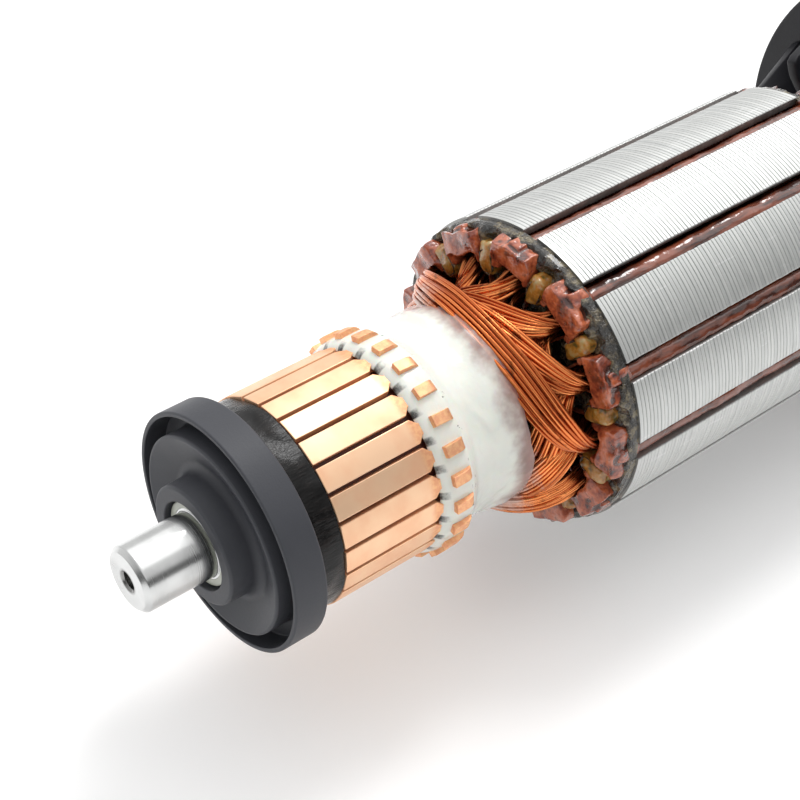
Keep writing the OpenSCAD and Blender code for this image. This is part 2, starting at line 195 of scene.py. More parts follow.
print("shader helpers ready")

# %% [markdown]
# ## Turned pieces
# The shaft, the dust ring and the other round pieces are turned shapes. Their outline is a few
# corner points, each with its own fillet, and `bmesh.ops.spin` turns it about the axis. Fillets
# matter more than they look: an edge only catches the light when it is rounded.

# %% Outline with fillets, and its spin


def rounded(corners, hold=0.02):
    """(x, radius, fillet) corners in mm become points, with an arc at each filleted corner.

    A point just outside each end of an arc holds the shading of the straight run beside it.
    """
    points = []
    for i, (x, r, fillet) in enumerate(corners):
        here = Vector((x, r))
        if fillet == 0:
            points.append(here)
            continue
        back = (Vector(corners[i - 1][:2]) - here).normalized()
        ahead = (Vector(corners[(i + 1) % len(corners)][:2]) - here).normalized()
        half = back.angle(ahead) / 2
        reach = fillet / math.tan(half)
        centre = here + (back + ahead).normalized() * fillet / math.sin(half)
        start, end = here + back * reach - centre, here + ahead * reach - centre
        steps = 5
        points.append(here + back * (reach + hold))
        for k in range(steps + 1):
            points.append(centre + start.slerp(end, k / steps) * fillet)
        points.append(here + ahead * (reach + hold))
    return points


def to_data(mesh, name="part"):
    """Turns a bmesh into mesh data and frees it."""
    data = bpy.data.meshes.new(name)
    mesh.to_mesh(data)
    mesh.free()
    return data


def linked(name, data):
    """A new object in the scene, at the origin."""
    thing = bpy.data.objects.new(name, data)
    bpy.context.scene.collection.objects.link(thing)
    return thing


def piece_from(name, data, finish, smooth_angle):
    """Makes mesh data a piece of the armature, with a finish and smooth shading."""
    piece = linked(name, data)
    data.shade_smooth()
    data.set_sharp_from_angle(angle=math.radians(smooth_angle))
    data.materials.append(finish.material)
    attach(piece, "root")
    return piece


def new_piece(name, mesh, finish, smooth_angle=35):
    """Makes a bmesh a piece, with its faces pointing outwards."""
    bmesh.ops.recalc_face_normals(mesh, faces=mesh.faces)
    return piece_from(name, to_data(mesh, name), finish, smooth_angle)


def triangles(piece):
    """How many triangles a piece has."""
    return sum(len(face.vertices) - 2 for face in piece.data.polygons)


def turned_mesh(corners, steps=128):
    """A bmesh of a closed outline spun about the axis."""
    mesh = bmesh.new()
    verts = [mesh.verts.new((p.x * MM, p.y * MM, 0)) for p in rounded(corners)]
    edges = [mesh.edges.new(pair) for pair in zip(verts, verts[1:] + verts[:1])]
    bmesh.ops.spin(mesh, geom=verts + edges, cent=(0, 0, 0), axis=AXIS, dvec=(0, 0, 0),
                   angle=2 * math.pi, steps=steps, use_merge=True)
    bmesh.ops.remove_doubles(mesh, verts=mesh.verts, dist=0.0005 * MM)
    loose = [e for e in mesh.edges if not e.link_faces]
    bmesh.ops.delete(mesh, geom=loose, context="EDGES")
    return mesh


print("turning helpers ready")

# %% [markdown]
# Nothing handmade repeats exactly. Perlin noise is a smooth random field: close points get close
# values. Reading it at a point's own place gives every lump, wire and sheet its small faults,
# the same ones on each run.

# %% Smooth random numbers


def lumps(point, size_mm, seed=0.0):
    """Noise from about -1 to 1 at a point in metres, with lumps of about this size."""
    return noise.noise(point / (size_mm * MM) + Vector((seed * 7.3, seed * 3.1, seed * 5.7)))


def at_angle(x, r, degrees, side=0.0):
    """A point at x along the axis and r from it, turned from +Y towards +Z; lengths in mm."""
    point = Matrix.Rotation(math.radians(degrees), 3, "X") @ Vector((x, r, side))
    return point * MM


def copies(base, angles):
    """One bmesh with a turned copy of base at each angle."""
    mesh = bmesh.new()
    for degrees in angles:
        turned = base.copy()
        turned.transform(Matrix.Rotation(math.radians(degrees), 4, "X"))
        mesh.from_mesh(turned)
        bpy.data.meshes.remove(turned)
    return mesh


def from_data(*parts):
    """A bmesh with a copy of each mesh in it."""
    mesh = bmesh.new()
    for part in parts:
        mesh.from_mesh(part)
    return mesh


def turn(mesh, degrees):
    """Turns a bmesh about the axis."""
    bmesh.ops.rotate(mesh, verts=mesh.verts, cent=(0, 0, 0),
                     matrix=Matrix.Rotation(math.radians(degrees), 3, "X"))


def push_out(vert, factor):
    """Multiplies a point's distance from the axis."""
    vert.co.y *= factor
    vert.co.z *= factor


def extruded(mesh, edges):
    """Extrudes edges where they are; gives the new points and the new outer edges."""
    made = bmesh.ops.extrude_edge_only(mesh, edges=edges)["geom"]
    points = [g for g in made if isinstance(g, bmesh.types.BMVert)]
    return points, [g for g in made if isinstance(g, bmesh.types.BMEdge)]


print("noise at the origin's neighbour:", round(lumps(Vector((0.001, 0, 0)), 2.5), 3))

# %% [markdown]
# ## Shaft
# The shaft is ground steel. A ground cylinder is nearly a mirror along the axis and a little
# blurred round it, because the wheel leaves fine lines round the shaft. The lines are noise
# that depends on the distance along the axis alone.

# %% Ground steel
steel = Finish("ground_steel", Metallic=1.0)
along_mm, from_axis, _ = steel.axis_parts()
lines = along_mm.rings(9.0, 3.0)
smear = steel.place.noise(4, 3)
ground = mixed(smear.between(0.35, 0.7), (0.66, 0.665, 0.66), (0.56, 0.565, 0.56))
# Painted shade: the centre holes, and a ragged ring of the end face round them, are coloured dark grey.
centre_hole_shade = (from_axis + smear * 0.8).between(1.9, 1.5)
steel.look(mixed(centre_hole_shade * 0.8, ground, (0.2, 0.195, 0.19)), lines * 0.12 + smear * 0.12 + 0.12,
           lines.bump(0.004))
print("finish:", steel.material.name)

# %% The shaft with its shoulders, chamfers and centre holes
JOURNAL_R, DRIVE_R, SEAT_R, SEAT_LEN = 3.5, 3.5, 3.2, 9
SPACER_X, SPACER_END_X, SPACER_R = span("fan_spacer")
SHOULDER_X, DRIVE_X, SEAT_X = SLEEVE_X, SPACER_END_X, SHAFT_END_X - SEAT_LEN
HOLE_R, HOLE_DEEP = 0.95, 2.2
shaft_outline = [
    (TIP_X + HOLE_DEEP, 0, 0), (TIP_X + HOLE_DEEP - HOLE_R, HOLE_R, 0), (TIP_X + 0.25, HOLE_R, 0.08),
    (TIP_X, HOLE_R + 0.25, 0.06), (TIP_X, JOURNAL_R - 0.5, 0.15), (TIP_X + 0.5, JOURNAL_R, 0.2),
    (SHOULDER_X, JOURNAL_R, 0.1), (SHOULDER_X, BODY_R, 0.08), (DRIVE_X, BODY_R, 0.03),
    (DRIVE_X, DRIVE_R, 0.02), (SEAT_X, DRIVE_R, 0.2), (SEAT_X, SEAT_R, 0.1),
    (SHAFT_END_X - 0.5, SEAT_R, 0.2), (SHAFT_END_X, SEAT_R - 0.5, 0.15),
    (SHAFT_END_X, HOLE_R + 0.25, 0.06), (SHAFT_END_X - 0.25, HOLE_R, 0.08),
    (SHAFT_END_X - HOLE_DEEP + HOLE_R, HOLE_R, 0), (SHAFT_END_X - HOLE_DEEP, 0, 0),
]
shaft = new_piece("shaft_turned", turned_mesh(shaft_outline), steel)
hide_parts("shaft")
print("shaft triangles:", triangles(shaft))

# %% [markdown]
# A thin resin sleeve insulates the shaft, and shows only as a pale ring inside the dust ring.

# %% Sleeve and spacer
cream = Finish("sleeve_resin", Roughness=0.35, Coat_Weight=0.3, Coat_Roughness=0.2)
mottle = cream.place.noise(1.2, 4)
cream.set("Base Color", mixed(mottle, (0.56, 0.58, 0.5), (0.4, 0.42, 0.34)))
cream.set("Normal", mottle.bump(0.02))
sleeve = new_piece("sleeve_tube", turned_mesh([
    (SLEEVE_X, BODY_R, 0), (SLEEVE_X, SLEEVE_R, 0.1),
    (SLEEVE_END_X, SLEEVE_R, 0.1), (SLEEVE_END_X, BODY_R, 0),
]), cream)
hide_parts("shaft_sleeve")
spacer = new_piece("spacer_ring", turned_mesh([
    (SPACER_X, BODY_R, 0), (SPACER_X, SPACER_R, 0.15), (SPACER_END_X - 0.4, SPACER_R, 0.15),
    (SPACER_END_X, SPACER_R - 0.4, 0.15), (SPACER_END_X, BODY_R, 0),
]), steel)
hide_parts("fan_spacer")
print("sleeve radius:", round(SLEEVE_R, 2))

# %% [markdown]
# ## Dust ring
# The ring at the commutator end keeps carbon dust out of the bearing. It is moulded plastic with
# a thin lip, a deep groove and a dished disc. Moulded plastic is satin, with a fine grain from
# the mould and edges that are never sharp.

# %% Moulded plastic
charcoal = Finish("ring_plastic", Specular_IOR_Level=0.3)
grain = charcoal.place.noise(0.25, 3)
cloud = charcoal.place.noise(5, 2)
charcoal.look(mixed(cloud, (0.046, 0.048, 0.056), (0.062, 0.064, 0.074)),
              cloud * 0.15 + grain * 0.1 + 0.38, grain.bump(0.012))
print("finish:", charcoal.material.name)

# %% The dust ring's profile
LIP_T, DISC_R, HUB_R = 0.53, 10.65, 6.35
DISC_X, RIM_X, WEB_X = RING_X + 2.0, RING_X + 2.7, RING_X + 5.3
MOUTH_R = SLEEVE_R + 0.22
ring_outline = [
    (RING_X, MOUTH_R, 0.15), (RING_X, HUB_R, 0.3), (DISC_X + 1.7, HUB_R + 0.1, 0.8),
    (DISC_X, DISC_R, 0.25), (WEB_X, DISC_R, 0.2), (WEB_X, RIM_R - LIP_T, 0.15),
    (RIM_X, RIM_R - LIP_T, 0.12), (RIM_X, RIM_R, 0.2), (BAND_X, RIM_R, 0.3),
    (BAND_X, SLEEVE_R, 0), (SHOULDER_X + 1.6, SLEEVE_R, 0), (SHOULDER_X + 1.6, MOUTH_R, 0),
]
dust_ring = new_piece("dust_ring_moulded", turned_mesh(ring_outline, 160), charcoal)
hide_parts("dust_ring")
print("rim radius:", round(RIM_R, 2))

# %% [markdown]
# The band behind the ring is a resin-soaked cord of glass fibre, wound on to hold the bars. It
# is almost black. Run resin has left low lumps on it, which are pushed out of a spun ring, and
# the gloss comes from a low roughness over them.

# %% Resin band
BAND_R = span("front_band")[2]
pitch = Finish("band_resin", Specular_IOR_Level=0.25)
fibres = pitch.place.noise(0.35, 4, 0.7, stretch=(5, 1, 1))
clots = pitch.place.noise(2.2, 0.5, 0.4)
black = mixed((fibres * 0.6 + clots * 0.4).between(0.5, 0.66), (0.003, 0.0025, 0.0025),
              (0.014, 0.011, 0.01))
pitch.look(black, clots * 0.3 - 0.04, (fibres * 0.22 + clots).bump(0.3))
band_mesh = turned_mesh([
    (BAND_X, SLEEVE_R, 0), (BAND_X, BAND_R, 0.3),
    *[(BAND_X + 0.3 * k, BAND_R, 0) for k in range(2, 10)],
    (BARS_X, BAND_R, 0.1), (BARS_X, SLEEVE_R, 0),
], 320)
for vert in band_mesh.verts:
    if math.hypot(vert.co.y, vert.co.z) > (BAND_R - 1) * MM:
        push_out(vert, 1 + 0.017 * lumps(vert.co, 2.6, 1) + 0.002 * lumps(vert.co, 0.9, 2))
band = new_piece("front_band_wound", band_mesh, pitch, 60)
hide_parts("front_band")
print("band radius:", round(BAND_R, 2))

# %% [markdown]
# ## Commutator
# Twenty-four copper bars stand in a brown moulding, with a sawn slot between each two. Each bar
# narrows behind the brush track and ends in a hook, folded back over the wires. A bar starts as
# its plan, a flat outline, which is extruded down and tapered towards the axis. The hook is a
# side view, extruded across. One bevel on all sharp edges makes both look stamped.

# %% Copper
copper = Finish("bar_copper", Metallic=0.85)
along_mm, from_axis, _ = copper.axis_parts()
BAR_STEP, BAR_PHASE, BAR_COUNT = 15, 13.9, 24
turning = along_mm.rings(14.0, 2.0)
tarnish = copper.place.noise(3.5, 3)
speck = copper.place.noise(0.5, 4, 0.6)
track_colour = mixed(tarnish.between(0.35, 0.7), (0.97, 0.645, 0.42), (0.93, 0.55, 0.34))
tail_colour = mixed(speck.between(0.35, 0.65), (0.86, 0.42, 0.24), (0.95, 0.56, 0.3))
bar_colour = mixed(along_mm.between(23.2, 24.2), track_colour, tail_colour)
leg_face = along_mm.between(25.55, 25.3) * from_axis.between(11.6, 11.9)
copper.look(mixed(leg_face * 0.8, bar_colour, (0.3, 0.12, 0.06)),
            turning * 0.1 + tarnish * 0.12 + along_mm.between(23.5, 24.3) * 0.08 + 0.34,
            (turning * 0.4 + speck).bump(0.006))
print("finish:", copper.material.name)

# %% One bar from above: wide track, cut corners, narrow neck
TRACK_R, BAR_FLOOR_R, TRACK_END_X = 11.36, 8.66, 24.1
BAR_GAP, HOOK_W, HOOK_T, HOOK_IN, CROWN = 0.44, 1.2, 0.65, 0.9, 0.4
HOOK_X = BARS_END_X - 2.6


def bar_half(r):
    """Half the width of a bar at a radius; the slots beside it keep one width."""
    lean = math.radians(BAR_STEP / 2)
    return r * math.tan(lean) - BAR_GAP / 2 / math.cos(lean)


def pull(mesh, faces, vector):
    """Extrudes faces along a vector in mm and turns all faces outwards."""
    made = bmesh.ops.extrude_face_region(mesh, geom=faces)
    moved = [g for g in made["geom"] if isinstance(g, bmesh.types.BMVert)]
    bmesh.ops.translate(mesh, verts=moved, vec=Vector(vector) * MM)
    bmesh.ops.recalc_face_normals(mesh, faces=mesh.faces)


def prism(points, vector):
    """A bmesh of a flat outline in mm, extruded along a vector in mm."""
    mesh = bmesh.new()
    pull(mesh, [mesh.faces.new([mesh.verts.new(Vector(p) * MM) for p in points])], vector)
    return mesh


def bevel_sharp(mesh, width_mm, segments=2, limit=30):
    """Bevels every edge that turns by more than limit degrees."""
    sharp = [e for e in mesh.edges if e.is_manifold and e.calc_face_angle() > math.radians(limit)]
    bmesh.ops.bevel(mesh, geom=sharp, offset=width_mm * MM, offset_type="OFFSET", segments=segments,
                    profile=0.5, affect="EDGES", clamp_overlap=True, material=-1)


def track_block():
    """The track of one bar along +Y, with a slight crown."""
    wide, narrow = bar_half(TRACK_R), HOOK_W / 2
    cut = wide - narrow
    neck_x = TRACK_END_X + 1.6
    plan = [(BARS_X, -wide), (TRACK_END_X, -wide), (TRACK_END_X + cut, -narrow), (neck_x, -narrow),
            (neck_x, narrow), (TRACK_END_X + cut, narrow), (TRACK_END_X, wide), (BARS_X, wide)]
    mesh = prism([(x, TRACK_R, side) for x, side in plan], (0, BAR_FLOOR_R - TRACK_R, 0))
    for side in (-0.8, -0.4, 0, 0.4, 0.8):
        bmesh.ops.bisect_plane(mesh, geom=mesh.verts[:] + mesh.edges[:] + mesh.faces[:],
                               plane_co=(0, 0, side * MM), plane_no=(0, 0, 1), dist=1e-8)
    for vert in mesh.verts:
        if vert.co.y > (TRACK_R + BAR_FLOOR_R) / 2 * MM:
            vert.co.y = math.sqrt((TRACK_R * MM) ** 2 - CROWN * vert.co.z ** 2)
        else:
            vert.co.z *= bar_half(BAR_FLOOR_R) / wide
    bevel_sharp(mesh, 0.09)
    return mesh


def hook_block():
    """The tail and hook of one bar, from its side view."""
    low = HOOK_R - 2 * HOOK_T - HOOK_IN
    side_view = rounded([
        (HOOK_X, HOOK_R, 0.1), (BARS_END_X, HOOK_R, 1.09), (BARS_END_X, BAR_FLOOR_R, 1.0),
        (TRACK_END_X + 0.6, BAR_FLOOR_R, 0), (TRACK_END_X + 0.6, low + HOOK_T, 0),
        (BARS_END_X - HOOK_T, low + HOOK_T, 0.44), (BARS_END_X - HOOK_T, HOOK_R - HOOK_T, 0.44),
        (HOOK_X, HOOK_R - HOOK_T, 0.05),
    ], 0.01)
    mesh = prism([(p.x, p.y, -HOOK_W / 2) for p in side_view], (0, 0, HOOK_W))
    bevel_sharp(mesh, 0.1)
    return mesh


bar_data = to_data(track_block(), "bar_track")
hook_data = to_data(hook_block(), "bar_hook")
print("hook from", round(HOOK_X, 2), "to", round(BARS_END_X, 2), "mm")

# %% All bars, each bent a little differently
random.seed(24)
for number in range(BAR_COUNT):
    hook = from_data(hook_data)
    bend = Matrix.Rotation(math.radians(random.uniform(-2.5, 2.5)), 4, "Y")
    pivot = Matrix.Translation(Vector((HOOK_X + 1.5, 0, 0)) * MM)
    bmesh.ops.transform(hook, matrix=pivot @ bend @ pivot.inverted(), verts=hook.verts)
    bar_mesh = from_data(bar_data, to_data(hook))
    turn(bar_mesh, BAR_PHASE + BAR_STEP * number)
    bar = new_piece(f"bar_{number + 1:02d}_copper", bar_mesh, copper, 22)
    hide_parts(f"bar_{number + 1:02d}")
print("bars:", BAR_COUNT)

# %% [markdown]
# The moulding shows only as the dark floor of the slots. The construction's own shape is right,
# so it stays and only gets its finish: brown resin, burnt darker by the saw.

# %% Brown moulding resin
bakelite = Finish("moulding_resin", Specular_IOR_Level=0.4)
dust = bakelite.place.noise(0.4, 4, 0.6)
bakelite.look(mixed(dust.between(0.3, 0.7), (0.035, 0.007, 0.004), (0.09, 0.022, 0.012)),
              dust * 0.3 + 0.35, dust.bump(0.03))


def finish_node(name, finish):
    """Gives a node of the construction its finish."""
    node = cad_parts[name]
    node.data.materials.clear()
    node.data.materials.append(finish.material)


finish_node("commutator_moulding", bakelite)
print("moulding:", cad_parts["commutator_moulding"].name)

# %% [markdown]
# ## Laminated core
# The core is a stack of half-millimetre steel sheets, so that currents can't flow along it. The
# sheets are punched with twelve slots, and no two lie exactly alike. That leaves the fine ribs
# seen on the real one. Here one sheet's outline is extruded ring by ring, and each sheet gets
# its own tiny turn and size before the next.

# %% Lamination steel
lamination = Finish("core_steel", Metallic=1.0)
along_mm, from_axis, _ = lamination.axis_parts()
scuff = lamination.place.noise(2.2, 4, 0.6)
streak = along_mm.rings(2.0, 4.0)
scratch = lamination.place.noise(0.5, 2, 0.5, stretch=(12, 1, 1)).between(0.66, 0.74)
sheet_tint = mixed(streak.between(0.35, 0.65), (0.55, 0.56, 0.55), (0.63, 0.635, 0.62))
# Painted shade: the grooves between the sheets are darkened in colour as well as sunk.
groove_painted_shade = from_axis.between(CORE_R - 0.03, CORE_R - 0.07) * 0.65
worn = mixed(scratch * 0.5, sheet_tint, (0.75, 0.75, 0.75))
lamination.look(mixed(groove_painted_shade, worn, (0.28, 0.275, 0.27)), scuff * 0.22 + streak * 0.1 + 0.32,
                (scuff * 0.5 + scratch).bump(0.006))
print("finish:", lamination.material.name)

# %% The outline of one sheet
SLOT_COUNT, SLOT_STEP, HALF_SLOT = 12, 30, 15
TOOTH_W, SLOT_FLOOR_R, TIP_R, MOUTH_W = 2.8, 8.6, 16.4, 2.03


def slot_half(r, inset=0.0):
    """Half the width of a slot at a radius."""
    lean = math.radians(HALF_SLOT)
    return r * math.tan(lean) - (TOOTH_W / 2 + inset) / math.cos(lean)


def sheet_points():
    """Points of a sheet's edge in the order they go round, in mm."""
    half_mouth = MOUTH_W / 2
    corner = 0.12
    points = []
    for slot in range(SLOT_COUNT):
        facing = Matrix.Rotation(math.radians(SLOT_STEP * slot), 3, "X")
        side = [
            (CORE_R - corner, half_mouth), (TIP_R + corner, half_mouth),
            (TIP_R, half_mouth + corner), (TIP_R, slot_half(TIP_R) - 0.5),
            (TIP_R - 0.5, slot_half(TIP_R)), (SLOT_FLOOR_R, slot_half(SLOT_FLOOR_R)),
        ]
        for r, s in [(r, -s) for r, s in side] + side[::-1]:
            points.append(facing @ Vector((0, r, s)))
        mouth_angle = math.degrees(math.asin((half_mouth + corner) / CORE_R))
        arc = 9
        for k in range(arc + 1):
            along_arc = mouth_angle + (SLOT_STEP - 2 * mouth_angle) * k / arc
            points.append(at_angle(0, CORE_R, SLOT_STEP * slot + along_arc) / MM)
    return points


outline = sheet_points()
print("points round one sheet:", len(outline))

# %% Stack the sheets
SHEETS, GROOVE, GROOVE_DEEP = 83, 0.06, 0.08
pitch_mm = (CORE_END_X - CORE_X) / SHEETS
random.seed(83)
core_mesh = bmesh.new()
ring = [core_mesh.verts.new((p + Vector((CORE_X, 0, 0))) * MM) for p in outline]
edges = [core_mesh.edges.new(pair) for pair in zip(ring, ring[1:] + ring[:1])]
core_mesh.faces.new(ring)
grow_before, twist_before = 1.0, 0.0
for sheet in range(SHEETS):
    grow = 1 + random.uniform(-0.0007, 0.0004)
    twist = random.uniform(-0.06, 0.06)
    start = CORE_X + sheet * pitch_mm
    steps = [(start + GROOVE, 0), (start + pitch_mm - GROOVE, 0), (start + pitch_mm, GROOVE_DEEP)]
    for x, sunk in steps if sheet < SHEETS - 1 else steps[:2] + [(CORE_END_X, 0)]:
        ring, edges = extruded(core_mesh, edges)
        size = grow * (1 - sunk / CORE_R)
        bmesh.ops.scale(core_mesh, verts=ring, vec=(1, size / grow_before, size / grow_before))
        bmesh.ops.rotate(core_mesh, verts=ring, cent=(0, 0, 0),
                         matrix=Matrix.Rotation(math.radians(twist - twist_before), 3, "X"))
        for vert in ring:
            vert.co.x = x * MM
        grow_before, twist_before = size, twist
bmesh.ops.holes_fill(core_mesh, edges=edges, sides=0)
core = new_piece("core_laminated", core_mesh, lamination, 25)
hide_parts("core")
print("sheets:", SHEETS, "triangles:", triangles(core))

# %% [markdown]
# ## Winding
# Every coil goes out of one slot and into the slot five further on, over the end of the core.
# The coils lie on nested shells: the first one laid is the deepest. A coil's way over the shell
# is an arch, which leaves the slot along the axis and swings round it. The wires of a coil are
# curves beside that arch, given a round bevel and turned into a mesh.

# %% The shells and the arch over the core's end
TURN_GAP, HEAD_LEN, HEAD_R, SHELL_R, LEVELS = 3.0, 7.5, 14.4, 6.6, 6
TURN_X = CORE_X - TURN_GAP
STEP_R, STEP_X = (HEAD_R - SHELL_R) / (LEVELS + 0.55), HEAD_LEN / (LEVELS + 0.8)
CROSS, RISE_POWER = 55, 1.2
MIRROR_X = CORE_X + CORE_END_X


def shell(level, offset, phi):
    """Distance along the axis and radius of a point on a coil's shell, in mm."""
    lean = math.radians(phi)
    x = TURN_X - (HEAD_LEN - level * STEP_X + offset) * math.sin(lean)
    return x, SHELL_R + (HEAD_R - SHELL_R - level * STEP_R + offset) * math.cos(lean)


def arch_point(level, start, end, t, side, offset):
    """A point t (0 to 1) of the way over the arch, side mm across it and offset mm above."""
    swing = max(1e-4, math.sin(math.pi * t))
    cosine = math.cos(math.pi * t)
    half = (end - start) / 2
    phi = CROSS * swing ** RISE_POWER
    _, middle_r = shell(level, 0, phi)
    length = HEAD_LEN - level * STEP_X
    height = HEAD_R - SHELL_R - level * STEP_R
    flat = abs(half) * swing * middle_r
    steep = CROSS * RISE_POWER * swing ** (RISE_POWER - 1) * cosine * length
    size = math.hypot(flat, steep)
    slope = math.hypot(length * math.cos(math.radians(phi)), height * math.sin(math.radians(phi)))
    way = 1 if half > 0 else -1
    around = start + half - half * cosine + math.degrees(side * way * steep / size / middle_r)
    phi = min(94, max(0, phi - math.degrees(side * flat / size / slope)))
    x, r = shell(level, offset, phi)
    return x, r, around


top_x, top_r, _ = arch_point(0, 30, 180, 0.5, 0, 0)
print(f"the last coil's crown: x {top_x:.1f} mm, radius {top_r:.1f} mm")

# %% Enamelled wire
enamel = Finish("enamelled_wire", Metallic=0.9)
tone = enamel.place.attribute("tone")
along_mm, from_axis, turn_angle = enamel.axis_parts()
varnish = enamel.place.noise(1.6, 3, 0.6)
drip = enamel.place.noise(0.6, 3, 0.5)
bright = mixed(tone, (0.5, 0.115, 0.032), (0.95, 0.32, 0.1))
# Painted shade: wires close to the axis, and all wire from 41.5 mm along the axis on (into the slots
# and over the rear end), are darkened; the varnish spots mixed in are real stains.
deep_painted_shade = from_axis.between(10.6, 8.2).maths("MAXIMUM", along_mm.between(41.5, 44.5) * 0.9)
varnish_stain_and_shade = (varnish.between(0.58, 0.7) * 0.6).maths("MAXIMUM", deep_painted_shade)
coppery = mixed(varnish_stain_and_shade, bright, (0.07, 0.014, 0.006))
film = (along_mm + varnish * 4).between(41.0, 38.6) * (turn_angle + drip * 0.4).between(1.5, 1.05)
enamel.look(mixed(film * 0.75, coppery, (0.72, 0.66, 0.64)), drip * 0.3 + 0.04,
            (drip + varnish).bump(0.02))
enamel.set("Metallic", 0.9 - film * 0.7)
print("finish:", enamel.material.name)

# %% The wires of one coil as closed loops
WIRE_R, COIL_W = 0.2, 4.2
LINER_T, LINER_OUT, WEDGE_FLOOR_R = 0.25, 1.3, 15.5
SLOT_MID_R = (SLOT_FLOOR_R + WEDGE_FLOOR_R) / 2 + 0.2


def slot_place(x, degrees, upper, share, column):
    """A wire beside its neighbours in a slot: stacked from -1 at the bottom to 1 at the top."""
    middle = (SLOT_MID_R + WEDGE_FLOOR_R) / 2 if upper else (SLOT_FLOOR_R + SLOT_MID_R) / 2
    r = middle - (0.9 if upper else 0) + share * 1.05
    side = column * min(1.0, slot_half(r, LINER_T) - 0.3)
    return Matrix.Rotation(math.radians(degrees), 3, "X") @ Vector((x, r, side)) * MM


def wire_loop(level, start, end, share, layer, drift, seed):
    """All points of one turn of wire, from slot to slot at the front and back at the rear."""
    points = []
    uppers = {start: level == 0, end: level != LEVELS - 1}
    for rear in (False, True):
        first, last = (end, start) if rear else (start, end)
        steps = 20 if rear else 36
        mouth_x = CORE_X - LINER_OUT
        column = min(1, layer) * 1.4 - 0.7 + 0.25 * math.sin(seed)
        run = [slot_place(mouth_x, first, uppers[first], share, column)]
        for step in range(steps + 1):
            t = step / steps
            swing = math.sin(math.pi * t)
            place = Vector((t * 5 + seed * 3.7, seed, level))
            side = (share + drift * (t - 0.5)) * COIL_W / 2 + 0.2 * noise.noise(place * 0.6) * swing
            above = (layer - 0.5) * 0.4 + 0.1 * noise.noise(place) * swing
            x, r, around = arch_point(level, first, last, t, side, above)
            near_end, slot = (t, first) if t < 0.5 else (1 - t, last)
            out = min(1, near_end / 0.4)
            held = (1 - out) ** 1.6
            here = at_angle(x, r, around)
            in_slot = slot_place(mouth_x - 0.3 - 6 * out, slot, uppers[slot], share, column)
            run.append(here.lerp(in_slot, held))
        run.append(slot_place(mouth_x, last, uppers[last], share, column))
        if rear:
            run = [Vector((MIRROR_X * MM - p.x, p.y, p.z)) for p in run]
        points += run
    before = points[-1:] + points[:-1]
    return [p for p, last in zip(points, before) if (p - last).length > 0.08 * MM]


def wires_mesh(loops, name):
    """Bevelled curves through the loops, as one mesh with a tone for each wire."""
    curve = bpy.data.curves.new(name, "CURVE")
    curve.dimensions = "3D"
    curve.bevel_depth = WIRE_R * MM
    curve.bevel_resolution = 2
    for points in loops:
        spline = curve.splines.new("POLY")
        spline.points.add(len(points) - 1)
        for place, point in zip(spline.points, points):
            place.co = (*point, 1)
        spline.use_cyclic_u = True
    holder = bpy.data.objects.new(name, curve)
    data = bpy.data.meshes.new_from_object(holder)
    bpy.data.objects.remove(holder)
    bpy.data.curves.remove(curve)
    data.materials.clear()
    tones = data.attributes.new("tone", "FLOAT", "POINT")
    each = len(data.vertices) // sum(len(points) for points in loops)
    values = []
    for points in loops:
        values += [random.uniform(0, 1)] * (len(points) * each)
    tones.data.foreach_set("value", values)
    return data


print("slot middle radius:", round(SLOT_MID_R, 2))

# %% Wind the twelve coils
random.seed(12)
total = 0
for number in range(SLOT_COUNT):
    level = number // 2
    start = SLOT_STEP * (1 - level) + 180 * (number % 2)
    end = start + 5 * SLOT_STEP
    loops = []
    for layer in (0, 1):
        for strand in range(9):
            share = -0.94 + 1.88 * (strand + 0.5 * layer) / 8.5 + random.uniform(-0.03, 0.03)
            drift = random.uniform(-0.15, 0.15)
            loops.append(wire_loop(level, start, end, share, layer, drift, random.uniform(0, 90)))
    for stray in range(2 if level < 2 else 1):
        share, drift = random.uniform(-0.6, 0.6), random.choice((-0.5, 0.4))
        loops.append(wire_loop(level, start, end, share, 1.75, drift, random.uniform(0, 90)))
    name = f"coil_{number + 1:02d}_wires"
    coil = piece_from(name, wires_mesh(loops, name), enamel, 80)
    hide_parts(f"coil_{number + 1:02d}")
    total += triangles(coil)
print("wire triangles:", total)

# %% [markdown]
# ## White lead wrap
# Behind the hooks the leads are bound down and cast in white resin. It is milky and glossy, it
# fills the space between the hooks, and its back edge runs out over the winding as a thin skin.
# The wrap is a spun profile with many rings, whose points are then pushed about by noise.

# %% White resin
milk = Finish("white_resin", Coat_Weight=0.15, Coat_Roughness=0.15, Subsurface_Weight=0.25,
              Subsurface_Scale=0.6 * MM)
along_mm, from_axis, turn_angle = milk.axis_parts()
between_bars = ((turn_angle - math.radians(BAR_PHASE)) * BAR_COUNT).maths("COSINE", 0.0)
haze = milk.place.noise(2.5, 3)
fray = milk.place.noise(0.7, 4, 0.6)
white = mixed(haze, (0.86, 0.87, 0.79), (0.74, 0.76, 0.71))
